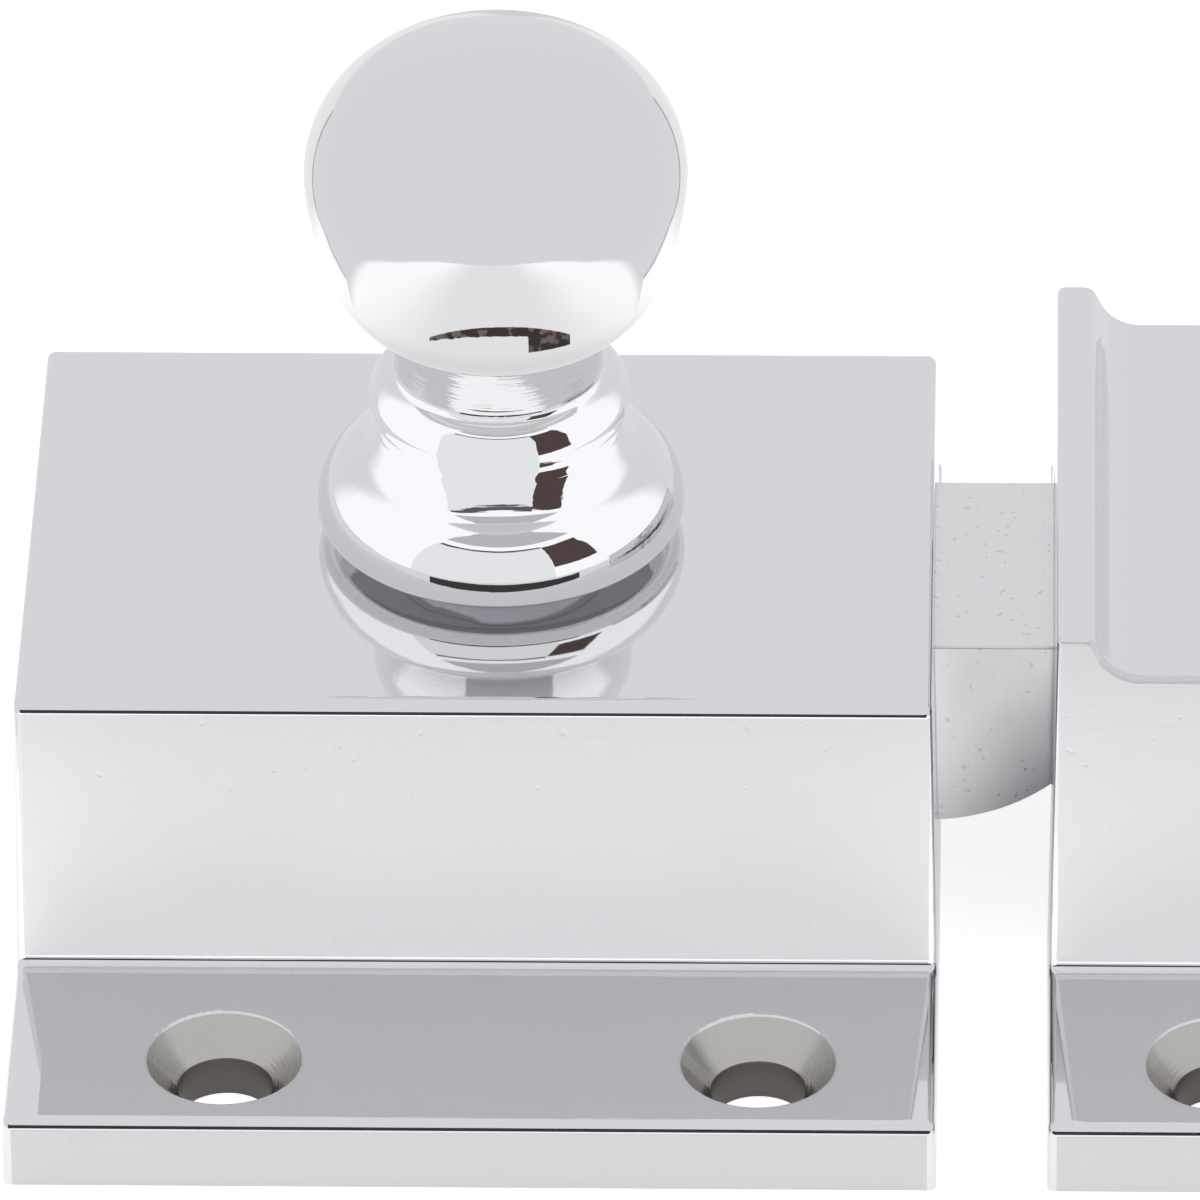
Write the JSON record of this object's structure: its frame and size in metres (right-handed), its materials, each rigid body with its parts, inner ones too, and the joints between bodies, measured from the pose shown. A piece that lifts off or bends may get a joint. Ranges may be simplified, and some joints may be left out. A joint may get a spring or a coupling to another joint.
{
  "type": "cupboard catch latch",
  "caption": "Surface-mounted cupboard catch: a turned knob draws back a spring bolt that engages a hooded strike; case and strike have countersunk screw flanges.",
  "frame": {"origin": "on the knob's axis, in the plane of the mounting faces, at the centre of the case's screw holes", "axes": "+X along the bolt towards the strike, +Z out of the door, +Y completes the right-handed frame along the flanges' height"},
  "size_m": [0.057, 0.0494, 0.0391],
  "materials": {
    "case_chrome": "polished",
    "knob_chrome": "polished",
    "strike_chrome": "polished",
    "bolt_metal": "satin",
    "plate_metal": "satin",
    "crank_metal": "satin",
    "screw_metal": "satin",
    "spring_metal": "drawn wire"
  },
  "bodies": {
    "latch": {"case": "case_chrome", "back_plate": "plate_metal", "cover_screw_1": "screw_metal", "cover_screw_2": "screw_metal", "cover_screw_3": "screw_metal", "cover_screw_4": "screw_metal", "bolt_spring": "spring_metal", "strike": "strike_chrome"},
    "knob": {"knob": "knob_chrome", "crank": "crank_metal", "crank_washer": "screw_metal", "crank_screw": "screw_metal"},
    "bolt": {"bolt": "bolt_metal"}
  },
  "joints": [
    {"name": "knob_turn", "type": "hinge", "parent": "latch", "child": "knob", "pos_m": [0, 0, 0.016], "axis": [0, 0, -1], "range_deg": [0, 80]},
    {"name": "bolt_slide", "type": "slide", "parent": "latch", "child": "bolt", "axis": [-1, 0, 0], "range_m": [0, 0.0072], "stiffness_N_per_m": 330, "springref_m": -0.005, "deforming": ["bolt_spring"]}
  ],
  "couplings": [
    {"joint": "knob_turn", "follows": "bolt_slide", "rad_per_m": 193.9}
  ]
}
